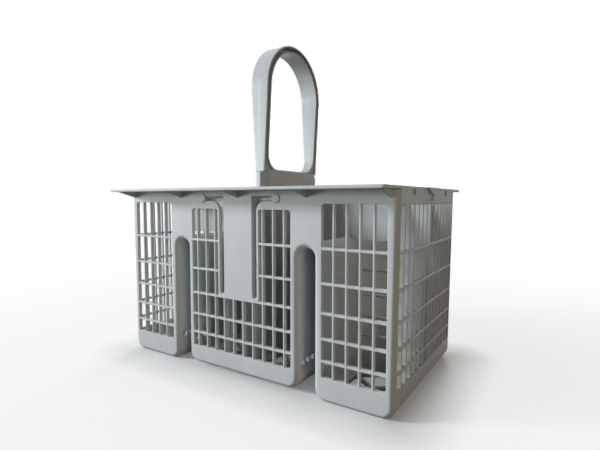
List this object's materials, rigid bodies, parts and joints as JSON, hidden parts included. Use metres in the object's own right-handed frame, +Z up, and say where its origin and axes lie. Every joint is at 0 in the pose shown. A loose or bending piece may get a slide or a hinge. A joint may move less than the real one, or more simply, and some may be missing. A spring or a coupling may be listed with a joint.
{
  "type": "dishwasher cutlery basket",
  "caption": "Moulded grid basket for cutlery with a rim flange, tunnels under it that straddle rack tines, and a plug-in loop handle.",
  "frame": {"origin": "on the ground under the middle of the basket", "axes": "+Z up, -Y towards the front wall with the tab, X along the length"},
  "size_m": [0.234, 0.165, 0.2434],
  "materials": {
    "basket_plastic": "light grey moulded polypropylene, satin",
    "handle_plastic": "light grey moulded polypropylene, satin"
  },
  "bodies": {
    "root": {"basket": "basket_plastic", "handle": "handle_plastic"}
  },
  "joints": []
}
